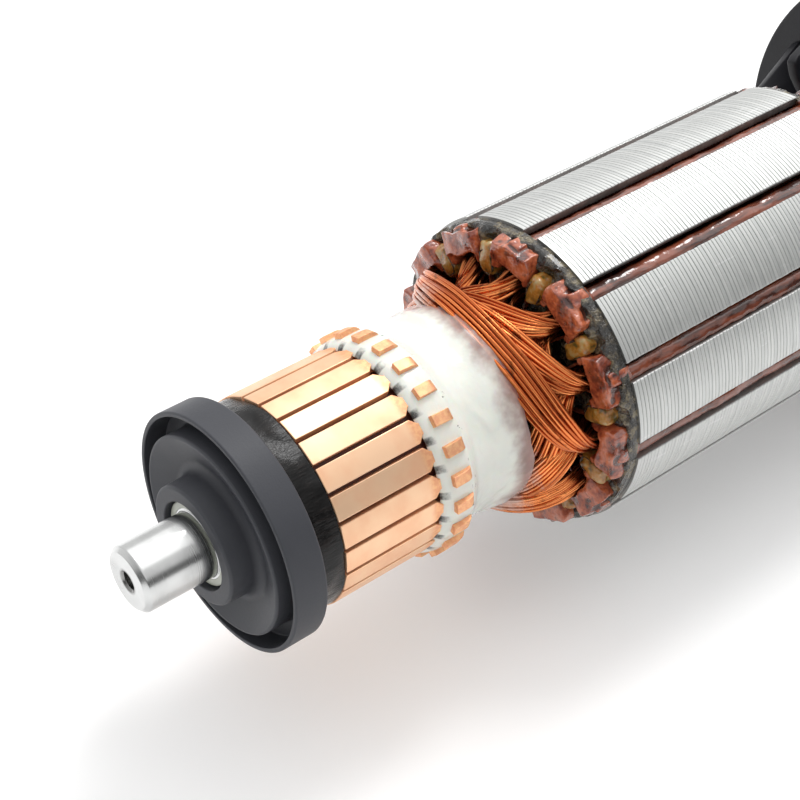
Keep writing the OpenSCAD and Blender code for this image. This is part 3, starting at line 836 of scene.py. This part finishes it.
# Painted shade: black between the bars at the wrap's front edge, where the slots run in under it.
gap_painted_shade = between_bars.between(-0.45, -0.8) * (along_mm + fray * 1.6).between(26.6, 25.3)
blush = (along_mm + fray * 0.5 + haze * 3.4).between(35.6, 38.4) * from_axis.between(9.5, 10.6)
flecks = between_bars.between(-0.1, -0.5) * along_mm.between(28.0, 28.4) * along_mm.between(29.2, 28.8)
flecks = flecks * milk.place.noise(0.5, 2).between(0.6, 0.68)
white_with_gap_shade = mixed(gap_painted_shade, white, (0.02, 0.02, 0.022))
pink = mixed(blush, white_with_gap_shade, mixed(haze, (0.5, 0.29, 0.26), (0.7, 0.52, 0.48)))
milk.look(mixed(flecks * 0.8, pink, (0.1, 0.09, 0.085)), haze * 0.2 + 0.12,
          (haze + fray * 0.3).bump(0.08))
milk.set("Alpha", 1 - blush * 0.6)
print("finish:", milk.material.name)

# %% The wrap's profile and its wrinkles
WRAP_STATIONS = [(24.7, 11.1), (24.95, 11.45), (25.5, 11.8), (26.4, 11.95), (28.2, 11.92), (28.9, 11.6),
                 (30.0, 11.0), (32.6, 10.75), (34.4, 11.15), (35.6, 11.35)]


def smooth_line(stations, step):
    """Points along a soft curve through the stations, closely spaced."""
    points = []
    for i in range(len(stations) - 1):
        a, b = Vector(stations[i]), Vector(stations[i + 1])
        before = Vector(stations[i - 1]) if i else a
        after = Vector(stations[i + 2]) if i + 2 < len(stations) else b
        count = max(1, round((b - a).length / step))
        for k in range(count):
            t = k / count
            out, arrive = (b - before) * 0.5, (after - a) * 0.5
            points.append(a * (2 * t ** 3 - 3 * t ** 2 + 1) + out * (t ** 3 - 2 * t ** 2 + t)
                          + b * (3 * t ** 2 - 2 * t ** 3) + arrive * (t ** 3 - t ** 2))
    return points + [Vector(stations[-1])]


def edge_shift(angle):
    """How far the skin's back edge runs out over the winding at an angle, in mm."""
    wide = math.sin(math.radians(angle - 75)) * 0.5
    torn = lumps(at_angle(0, 11, angle), 4.5, 5)
    return 0.45 + wide + 0.8 * torn


skin = [(p.x, p.y, 0) for p in smooth_line(WRAP_STATIONS, 0.25)]
mouth = [(*shell(0, 0.62, phi), 0) for phi in range(56, 91, 5)]
WRAP_BACK_X, WRAP_BORE_R, HOOK_ROOM_X, HOOK_ROOM_R = CORE_X - 11.7, 4.6, 27.6, 10.3
inside = [(mouth[-1][0], 5.6, 0), (WRAP_BACK_X, 5.5, 0), (WRAP_BACK_X, WRAP_BORE_R, 0),
          (HOOK_ROOM_X, WRAP_BORE_R, 0), (HOOK_ROOM_X, HOOK_ROOM_R, 0), (25.4, HOOK_ROOM_R, 0)]
wrap_mesh = turned_mesh(skin + mouth + inside, 288)
for vert in wrap_mesh.verts:
    r = math.hypot(vert.co.y, vert.co.z) / MM
    x = vert.co.x / MM
    if r > 10.4:
        angle = math.degrees(math.atan2(vert.co.z, vert.co.y))
        behind = min(1, max(0, (x - 29) / 4))
        lift = 0.12 * lumps(vert.co, 3.2, 3) * behind + 0.03 * lumps(vert.co, 0.9, 4)
        fold = abs(lumps(Vector((x * 1.2, angle * 0.09, 0)) * MM, 3.2, 8))
        lift += behind * (0.2 - min(0.2, fold)) * 0.8
        push_out(vert, 1 + lift / r)
        vert.co.x += MM * edge_shift(angle) * min(1, max(0, (x - 32.5) / 3))
wrap = new_piece("lead_wrap_resin", wrap_mesh, milk, 60)
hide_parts("lead_wrap")
print("wrap triangles:", triangles(wrap))

# %% [markdown]
# ## Slot paper and wedges
# Each slot is lined with paper, and a strip of red-brown paper closes its mouth. The strip's end
# stands out of the core, folded into a saddle and soaked in varnish. The saddle is built from
# rough blocks, remeshed into one soft skin and then bent by noise, so that all ends differ.

# %% Varnished paper
paper = Finish("slot_paper", Specular_IOR_Level=0.6, Coat_Weight=0.6, Coat_Roughness=0.06)
along_mm, _, _ = paper.axis_parts()
cloudy = paper.place.noise(2.4, 3, 0.6)
pool = paper.place.noise(0.9, 3, 0.6)
grain_run = paper.place.noise(1.1, 3, 0.6, stretch=(6, 1, 1))
reds = (cloudy * 0.6 + pool * 0.4).ramp((0.36, (0.05, 0.01, 0.006)), (0.46, (0.26, 0.05, 0.022)),
                                        (0.55, (0.5, 0.12, 0.045)), (0.68, (0.62, 0.25, 0.16)))
fold_painted_shade = paper.place.attribute("fold_painted_shade")
# Painted shade: the saddles' folds and hollows, read from the skin's shape, are darkened, with random
# pool spots mixed in.
reds = mixed((fold_painted_shade * 1.4 + pool * 0.5 - 0.15).between(0.2, 0.6) * 0.92, reds, (0.05, 0.012, 0.008))
outside = along_mm.between(CORE_X + 0.6, CORE_X - 0.4)
outside = outside.maths("MAXIMUM", along_mm.between(CORE_END_X - 0.6, CORE_END_X + 0.4))
strip_tint = mixed(grain_run.between(0.38, 0.62), (0.045, 0.011, 0.006), (0.24, 0.058, 0.025))
burnt = pool.between(0.58, 0.72)
paper.look(mixed(burnt * 0.6, mixed(outside, strip_tint, reds), (0.06, 0.012, 0.006)),
           pool * 0.3 - 0.05, ((cloudy + pool * 0.4) * (outside * 0.6 + 0.4)).bump(0.4))
print("finish:", paper.material.name)

# %% A voxel remesh, for shapes that flow together


def melted(mesh, voxel_mm, smooth_steps, name="melted"):
    """Mesh data of one closed skin round all blocks of a bmesh."""
    data = to_data(mesh, name)
    holder = linked(name, data)
    remesh = holder.modifiers.new("skin", "REMESH")
    remesh.mode = "VOXEL"
    remesh.voxel_size = voxel_mm * MM
    soften = holder.modifiers.new("soften", "SMOOTH")
    soften.factor = 0.5
    soften.iterations = smooth_steps
    graph = bpy.context.evaluated_depsgraph_get()
    skin_data = bpy.data.meshes.new_from_object(holder.evaluated_get(graph))
    bpy.data.objects.remove(holder)
    bpy.data.meshes.remove(data)
    return skin_data


def block(mesh, low, high):
    """Adds a box between two corners, in mm."""
    low, high = Vector(low), Vector(high)
    place = Matrix.Translation((low + high) / 2 * MM) @ Matrix.Diagonal((*((high - low) * MM), 1))
    bmesh.ops.create_cube(mesh, size=1, matrix=place)


# %% One wedge end, standing out of the core along +Y
WEDGE_OUT = 2.9
FOOT = slot_half(WEDGE_FLOOR_R) - 0.05
saddle = bmesh.new()
front_x = CORE_X - WEDGE_OUT + 0.1
block(saddle, (front_x - 0.1, 15.6, -FOOT + 0.1), (CORE_X - 0.2, 16.65, FOOT - 0.1))
block(saddle, (front_x + 0.5, 15.7, -0.85), (CORE_X + 0.3, 17.15, 0.85))
block(saddle, (front_x - 0.1, 14.2, -FOOT), (front_x + 0.75, 16.4, FOOT))
block(saddle, (front_x + 0.1, 13.1, -FOOT - 0.1), (CORE_X - 1.1, 16.2, -FOOT + 0.8))
block(saddle, (front_x + 0.1, 13.1, FOOT - 0.8), (CORE_X - 1.1, 16.2, FOOT + 0.1))
saddle_data = melted(saddle, 0.15, 9, "saddle")
print("saddle faces:", len(saddle_data.polygons))

# %% A slot's strip between its two ends
STRIP_W, STRIP_T, STRIP_R = 1.66, 1.3, 16.5
strip = bmesh.new()
bmesh.ops.create_grid(strip, x_segments=140, y_segments=7, size=0.5)
bmesh.ops.scale(strip, verts=strip.verts, vec=((CORE_END_X - CORE_X + 1.2) * MM, STRIP_W * MM, 1))
for vert in strip.verts:
    side = vert.co.y
    crown = STRIP_R * MM + 0.5 * math.sqrt(max(0, (0.84 * MM) ** 2 - side ** 2))
    vert.co = Vector((vert.co.x + (CORE_X + CORE_END_X) / 2 * MM, crown, side + 0.15 * MM))
pull(strip, strip.faces[:], (0, -STRIP_T, 0))
strip_data = to_data(strip, "strip")
print("strip faces:", len(strip_data.polygons))

# %% Painted shade for a skin's folds, as a value on its points


def mark_hollows(mesh, rounds=6):
    """Writes 0 on open or raised points and up to 1 in folds, where the finish paints shade."""
    mesh.normal_update()
    layer = mesh.verts.layers.float.new("fold_painted_shade")
    around = {v: [e.other_vert(v) for e in v.link_edges] for v in mesh.verts}
    for vert, near in around.items():
        middle = sum((n.co for n in near), Vector()) / len(near)
        vert[layer] = (middle - vert.co).dot(vert.normal) / (0.01 * MM)
    for _ in range(rounds):
        soft = {v: (v[layer] + sum(n[layer] for n in near)) / (len(near) + 1)
                for v, near in around.items()}
        for vert, value in soft.items():
            vert[layer] = value
    for vert in mesh.verts:
        vert[layer] = min(1, max(0, vert[layer]))


# %% All wedges, each with its own lumps
rear_saddle = saddle_data.copy()
rear_saddle.transform(Matrix.Translation((MIRROR_X * MM, 0, 0)) @ Matrix.Scale(-1, 4, AXIS))
for number in range(SLOT_COUNT):
    mesh = from_data(saddle_data, rear_saddle)
    for vert in mesh.verts:
        place = Vector((vert.co.x, vert.co.y, vert.co.z + number * 20 * MM))
        out = 1 if vert.co.x < (CORE_X + 2) * MM else -1
        vert.co.x += 0.3 * MM * lumps(place, 2.0, 11) * out
        vert.co.y += 0.4 * MM * lumps(place, 1.7, 12) + 0.015 * MM * lumps(place, 0.8, 13)
        vert.co.z += 0.35 * MM * lumps(place, 2.2, 14)
    mark_hollows(mesh)
    body = from_data(strip_data)
    for vert in body.verts:
        place = Vector((vert.co.x, vert.co.y, vert.co.z + number * 20 * MM))
        if vert.co.y > 16.0 * MM:
            tilt = 0.14 * (vert.co.z / (0.8 * MM))
            vert.co.y += MM * (tilt + 0.16 * lumps(place, 2.4, 15) + 0.08 * lumps(place, 0.7, 16))
        vert.co.z += 0.07 * MM * lumps(Vector((place.x, 0, number * MM * 9)), 1.1, 17)
    mesh.from_mesh(to_data(body))
    turn(mesh, SLOT_STEP * number)
    wedge = new_piece(f"wedge_{number + 1:02d}_paper", mesh, paper, 50)
    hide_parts(f"wedge_{number + 1:02d}")
finish_node("slot_liners", paper)
print("wedges:", SLOT_COUNT)

# %% [markdown]
# ## End insulators
# A moulded plate with twelve fingers covers each end of the core and keeps the wires off the
# steel. The fingers are amber plastic, and impregnating varnish has run round them in dark
# glossy lumps.

# %% Amber plastic and dark varnish
amber = Finish("amber_finger", Specular_IOR_Level=0.8, Subsurface_Weight=0.3,
               Subsurface_Scale=0.8 * MM)
resin_spots = amber.place.noise(1.1, 3, 0.55)
amber_tint = resin_spots.ramp((0.34, (0.1, 0.07, 0.015)), (0.5, (0.4, 0.17, 0.025)),
                              (0.7, (0.42, 0.33, 0.14)))
amber.look(amber_tint, resin_spots * 0.3 + 0.05, resin_spots.bump(0.12))
lacquer = Finish("dark_varnish", Specular_IOR_Level=0.6, Coat_Weight=0.6, Coat_Roughness=0.05)
tar = lacquer.place.noise(1.3, 4, 0.65)
bead = lacquer.place.noise(0.45, 3, 0.6)
tar_tint = tar.ramp((0.42, (0.006, 0.005, 0.003)), (0.52, (0.05, 0.038, 0.022)),
                    (0.61, (0.21, 0.17, 0.1)), (0.7, (0.11, 0.09, 0.03)))
lacquer.look(tar_tint, bead * 0.4 - 0.1, (tar + bead * 0.6).bump(0.55))
finish_node("front_insulator", lacquer)
finish_node("rear_insulator", lacquer)
print("finishes:", amber.material.name, lacquer.material.name)

# %% Fingers as rounded pebbles


def to_rear(mesh):
    """Mirrors a bmesh from the front end of the core to the rear end."""
    bmesh.ops.scale(mesh, verts=mesh.verts, vec=(-1, 1, 1))
    bmesh.ops.translate(mesh, verts=mesh.verts, vec=(MIRROR_X * MM, 0, 0))


FINGER_W, FINGER_OUT, FINGER_LOW, FINGER_HIGH = 1.9, 2.7, 12.3, 15.1
pebble = bmesh.new()
block(pebble, (CORE_X - FINGER_OUT - 0.2, FINGER_LOW - 0.1, -FINGER_W / 2 - 0.1),
      (CORE_X - 0.4, FINGER_HIGH + 0.6, FINGER_W / 2 + 0.1))
bmesh.ops.bevel(pebble, geom=pebble.edges[:], offset=0.75 * MM, offset_type="OFFSET", segments=6,
                profile=0.5, affect="EDGES", clamp_overlap=True, material=-1)
bmesh.ops.subdivide_edges(pebble, edges=[e for e in pebble.edges if e.calc_length() > 0.3 * MM], cuts=3,
                          use_grid_fill=True)
pebble_data = to_data(pebble, "pebble")
for side, name in ((1, "front"), (-1, "rear")):
    mesh = copies(pebble_data, [HALF_SLOT + SLOT_STEP * k for k in range(SLOT_COUNT)])
    for vert in mesh.verts:
        vert.co.x += 0.3 * MM * lumps(vert.co, 1.3, 21 + side)
        push_out(vert, 1 + 0.026 * lumps(vert.co, 1.1, 22 + side))
    if side < 0:
        to_rear(mesh)
    new_piece(f"{name}_fingers", mesh, amber, 60)
print("fingers:", 2 * SLOT_COUNT)

# %% Varnish that has run over the plates
PLATE_R = CORE_R - 0.3


def set_ring(verts, share):
    """Moves the points of one ring of the collar to a share (0 to 1) of its way to the rim."""
    for vert in verts:
        angle = math.degrees(math.atan2(vert.co.z, vert.co.y)) % 360
        off_tooth = abs(angle % SLOT_STEP - HALF_SLOT)
        open_r = 12.2 + 3.4 * min(1, max(0, (off_tooth - 3.5) / 4)) ** 0.7
        place = at_angle(CORE_X, open_r + (PLATE_R - open_r) * share, angle)
        swell = math.sin(math.pi * min(1, share * 0.88)) ** 0.5
        out = 0.75 + swell * (0.6 + 0.9 * lumps(place, 1.6, 31) + 0.4 * lumps(place, 0.6, 32))
        vert.co = place - Vector((max(0.3, out) * MM, 0, 0))


def varnish_collar():
    """A lumpy disc over the front plate, open where the wires leave the slots."""
    mesh = bmesh.new()
    bmesh.ops.create_circle(mesh, segments=480, radius=0.01,
                            matrix=Matrix.Rotation(math.pi / 2, 4, "Y"))
    set_ring(mesh.verts, 0)
    edges, rings = mesh.edges[:], 16
    for k in range(1, rings):
        ring, edges = extruded(mesh, edges)
        set_ring(ring, k / (rings - 1))
    back, _ = extruded(mesh, [e for e in mesh.edges if e.is_boundary])
    for vert in back:
        vert.co.x = (CORE_X - 0.02) * MM
    return mesh


collar_data = to_data(varnish_collar(), "collar")
for name in ("front", "rear"):
    mesh = from_data(collar_data)
    if name == "rear":
        turn(mesh, 2 * SLOT_STEP)
        to_rear(mesh)
    new_piece(f"{name}_varnish", mesh, lacquer, 70)
print("collar faces:", len(collar_data.polygons))

# %% [markdown]
# ## Fan
# The fan is one moulding: a hub, a back plate and fourteen blades that lean back. A blade is a
# strip along an arc, given its thickness by solidify, with its front edge cut back towards the
# rim so that it clears the motor's baffle.

# %% Fan plastic
black_plastic = Finish("fan_plastic", Specular_IOR_Level=0.3)
flow = black_plastic.place.noise(6, 2)
skin_grain = black_plastic.place.noise(0.35, 3)
black_plastic.look(mixed(flow, (0.008, 0.008, 0.01), (0.014, 0.014, 0.018)),
                   flow * 0.15 + skin_grain * 0.1 + 0.34, skin_grain.bump(0.015))
print("finish:", black_plastic.material.name)

# %% Hub, plate and blades
FAN_HUB_R, FAN_HUB_X, BACK_T, BLADE_T, BLADES = 8.5, FAN_X + 0.5, 1.8, 1.4, 14
BLADE_CENTRE, BLADE_CURVE = Vector((FAN_R * 0.46, FAN_R * 0.72)), FAN_R * 0.84
BLADE_END_R = 21.5


def front_of_blade(r):
    """Where a blade's front edge is at a radius, in mm along the axis."""
    eye = BLADE_END_R * 0.75
    length = FAN_END_X - FAN_X
    stations = [(8.0, FAN_HUB_X + 0.6), (eye - 4, FAN_HUB_X + 0.6), (eye, FAN_X), (eye + 2, FAN_X),
                (BLADE_END_R - 1, FAN_X + length * 0.6), (BLADE_END_R, FAN_END_X - BACK_T)]
    for (r0, x0), (r1, x1) in zip(stations, stations[1:]):
        if r <= r1:
            return x0 + (x1 - x0) * (r - r0) / (r1 - r0)
    return stations[-1][1]


def set_blade_edge(verts, r):
    """Moves the two ends of an edge to a blade's front and back at a radius in mm."""
    reach = BLADE_CENTRE.length
    cosine = (r * r - reach ** 2 - BLADE_CURVE ** 2) / (2 * reach * BLADE_CURVE)
    angle = math.atan2(BLADE_CENTRE.y, BLADE_CENTRE.x) - math.acos(cosine)
    y, z = BLADE_CENTRE + BLADE_CURVE * Vector((math.cos(angle), math.sin(angle)))
    for vert, x in zip(sorted(verts, key=lambda v: v.co.x), (front_of_blade(r), FAN_END_X - 1.0)):
        vert.co = Vector((x, y, z)) * MM


def one_blade():
    """A curved blade, from the hub to the rim."""
    mesh = bmesh.new()
    low, high, steps = FAN_HUB_R - 0.3, BLADE_END_R - 0.1, 26
    edge = mesh.edges.new([mesh.verts.new((0, 0, 0)), mesh.verts.new((MM, 0, 0))])
    set_blade_edge(edge.verts, low)
    for k in range(1, steps + 1):
        edge = extruded(mesh, [edge])[1][0]
        set_blade_edge(edge.verts, low + (high - low) * k / steps)
    bmesh.ops.recalc_face_normals(mesh, faces=mesh.faces)
    bmesh.ops.solidify(mesh, geom=mesh.faces[:], thickness=BLADE_T * MM)
    bmesh.ops.recalc_face_normals(mesh, faces=mesh.faces)
    bevel_sharp(mesh, 0.22, 2, 50)
    return mesh


fan_mesh = turned_mesh([
    (FAN_HUB_X, BODY_R, 0.3), (FAN_HUB_X, FAN_HUB_R, 0.5), (FAN_END_X - BACK_T, FAN_HUB_R, 0.6),
    (FAN_END_X - BACK_T, FAN_R, 0.35), (FAN_END_X, FAN_R, 0.35), (FAN_END_X, 9.5, 0.2),
    (FAN_END_X - 0.5, 9.2, 0.2), (FAN_END_X - 0.5, 7.2, 0.2), (FAN_END_X, 6.9, 0.2),
    (FAN_END_X, BODY_R, 0.2),
], 160)
blades = copies(to_data(one_blade(), "blade"), [360 / BLADES * k for k in range(BLADES)])
fan_mesh.from_mesh(to_data(blades))
fan = new_piece("fan_moulded", fan_mesh, black_plastic, 40)
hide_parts("fan")
print("blades:", BLADES)

# %% [markdown]
# ## Floor, light and camera
# The armature lies on a white sheet under a large soft light, and a small lamp beside it gives
# the varnish its sharp highlights. A polished shaft shows what is round it, so the sky is darker
# near the horizon: that gives the steel its grey band.

# %% Floor


def light_path(tree, name):
    """1 where the ray that meets this surface is of the named kind, 0 elsewhere."""
    return Value(tree, tree.nodes.new("ShaderNodeLightPath").outputs[name])


floor_mesh = bmesh.new()
bmesh.ops.create_grid(floor_mesh, x_segments=1, y_segments=1, size=1.5)
bmesh.ops.translate(floor_mesh, verts=floor_mesh.verts, vec=(0.06, 0, -FAN_R * MM - 0.0001))
floor = linked("floor", to_data(floor_mesh, "floor"))
sheet_white = Finish("white_sheet", Roughness=0.9, Base_Color=(0.93, 0.93, 0.93, 1),
                     Specular_IOR_Level=0.1, Emission_Strength=0.1)
seen, glossy, through = [light_path(sheet_white.tree, f"Is {kind} Ray")
                         for kind in ("Camera", "Glossy", "Transmission")]
seen = seen.maths("MAXIMUM", glossy).maths("MAXIMUM", through)
sheet_white.set("Emission Color", mixed(seen, (0, 0, 0), (1, 1, 1)))
floor.data.materials.append(sheet_white.material)
print("floor at", round(-FAN_R - 0.1, 2), "mm")

# %% Sky and lamp
sky = bpy.data.worlds.new("studio")
bpy.context.scene.world = sky
sky.use_nodes = True
background = sky.node_tree.nodes["Background"]
direction = Value(sky.node_tree, sky.node_tree.nodes.new("ShaderNodeTexCoord").outputs["Generated"])
height = direction.node("SeparateXYZ", {}, {0: direction}, out=2)
behind = direction.node("SeparateXYZ", {}, {0: direction}, out=1).between(0.1, 0.7)
dim = height.ramp((0.0, (0.12, 0.12, 0.12)), (0.3, (0.13, 0.13, 0.13)), (0.44, (0.8, 0.8, 0.8)),
                  (0.64, (0.85, 0.85, 0.85)), (1.0, (0.35, 0.35, 0.35)))
sky_tint = mixed(behind, dim, (0.85, 0.85, 0.85))
sky_tint = mixed(light_path(sky.node_tree, "Is Camera Ray"), sky_tint, (1, 1, 1))
sky.node_tree.links.new(sky_tint.socket, background.inputs["Color"])
background.inputs["Strength"].default_value = 1.0


def add_lamp(name, width, depth, power, place):
    """A square of light at place, in metres, turned towards the commutator."""
    lamp_data = bpy.data.lights.new(name, "AREA")
    lamp_data.shape = "RECTANGLE"
    lamp_data.size, lamp_data.size_y = width, depth
    lamp_data.energy = power
    lamp = linked(name, lamp_data)
    lamp.location = place
    lamp.rotation_euler = (Vector((0.05, 0, 0)) - lamp.location).to_track_quat("-Z", "Y").to_euler()


add_lamp("softbox", 0.8, 0.7, 1.35, (0.27, 0.1, 0.45))
add_lamp("key", 0.12, 0.2, 0.9, (0.27, 0.1, 0.44))
print("lamps:", 2)

# %% Camera
camera_data = bpy.data.cameras.new("camera")
camera_data.lens = 79.37
camera_data.sensor_width = 36
camera = linked("camera", camera_data)
camera.location = Vector((-58.6, -105.7, 117.4)) * MM
camera.rotation_euler = Vector((0.4921, 0.5954, -0.6351)).to_track_quat("-Z", "Y").to_euler()
camera_data.clip_start = 0.005
bpy.context.scene.camera = camera
bpy.context.scene.view_settings.view_transform = "Standard"
print("camera distance:", round((camera.location - Vector((0.04, 0, 0))).length / MM), "mm")
